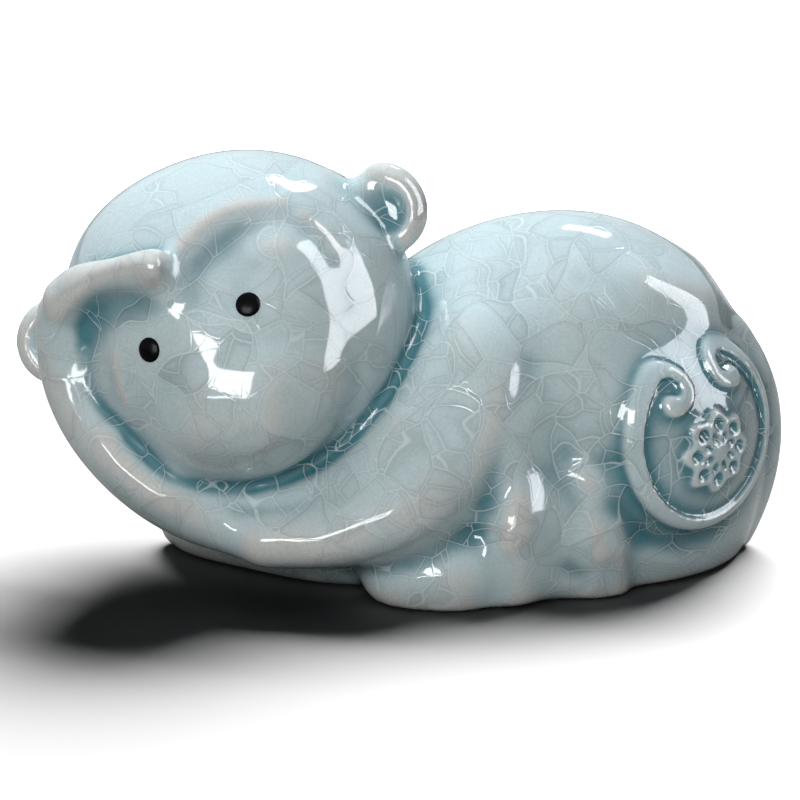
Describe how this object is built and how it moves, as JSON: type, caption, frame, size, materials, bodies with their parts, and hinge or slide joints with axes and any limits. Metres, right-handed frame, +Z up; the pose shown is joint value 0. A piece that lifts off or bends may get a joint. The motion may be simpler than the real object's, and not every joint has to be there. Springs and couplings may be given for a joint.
{
  "type": "ceramic tea pet",
  "caption": "Small crackle-glazed ceramic monkey lying on its belly, one long arm curled round its face to shade its eyes, with a scroll and lotus in relief on each haunch.",
  "frame": {"origin": "on the flat underside, under the front of the body", "axes": "+Z up, +X from the head to the rump, -Y the way the face looks"},
  "size_m": [0.0877, 0.0506, 0.0489],
  "materials": {
    "celadon_glaze": "glossy crackle glaze",
    "black_enamel": "glossy"
  },
  "bodies": {
    "root": {"torso": "celadon_glaze", "head": "celadon_glaze", "near_ear": "celadon_glaze", "far_ear": "celadon_glaze", "raised_arm": "celadon_glaze", "resting_arm": "celadon_glaze", "near_haunch": "celadon_glaze", "far_haunch": "celadon_glaze", "near_leg": "celadon_glaze", "far_leg": "celadon_glaze", "near_foot": "celadon_glaze", "far_foot": "celadon_glaze", "tail": "celadon_glaze", "near_scroll": "celadon_glaze", "far_scroll": "celadon_glaze", "near_lotus": "celadon_glaze", "far_lotus": "celadon_glaze", "near_eye": "black_enamel", "far_eye": "black_enamel"}
  },
  "joints": []
}
